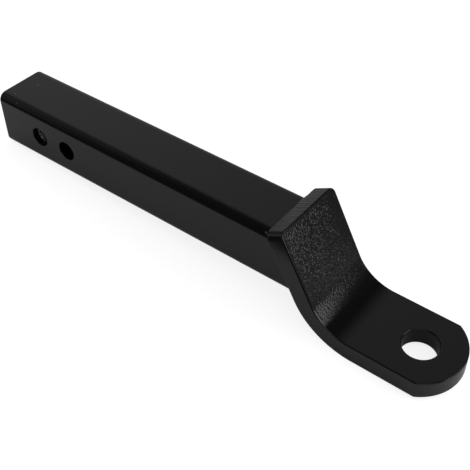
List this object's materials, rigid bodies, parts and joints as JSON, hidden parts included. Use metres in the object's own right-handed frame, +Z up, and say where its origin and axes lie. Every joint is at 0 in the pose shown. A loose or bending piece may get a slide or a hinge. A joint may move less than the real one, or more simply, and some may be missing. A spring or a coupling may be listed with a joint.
{
  "type": "drop ball mount for a square tow hitch receiver",
  "caption": "Square tube shank with cross pin holes, welded to a bent flat bar that drops to a level ball platform with a round hole and an arched end.",
  "frame": {"origin": "centre of the hitch pin hole, on the axis of the square tube, midway between its side walls", "axes": "+X along the tube towards the ball platform, +Y along the hitch pin, +Z up, along the ball's shank"},
  "size_m": [0.4345, 0.066, 0.0879],
  "materials": {
    "powder_coat": "satin black powder coat with a fine grain",
    "nut_steel": "bare steel, dusted with black at the rim"
  },
  "bodies": {
    "root": {"shank_tube": "powder_coat", "tongue_plate": "powder_coat", "joint_weld": "powder_coat", "anti_rattle_nut": "nut_steel", "nut_weld": "nut_steel"}
  },
  "joints": []
}
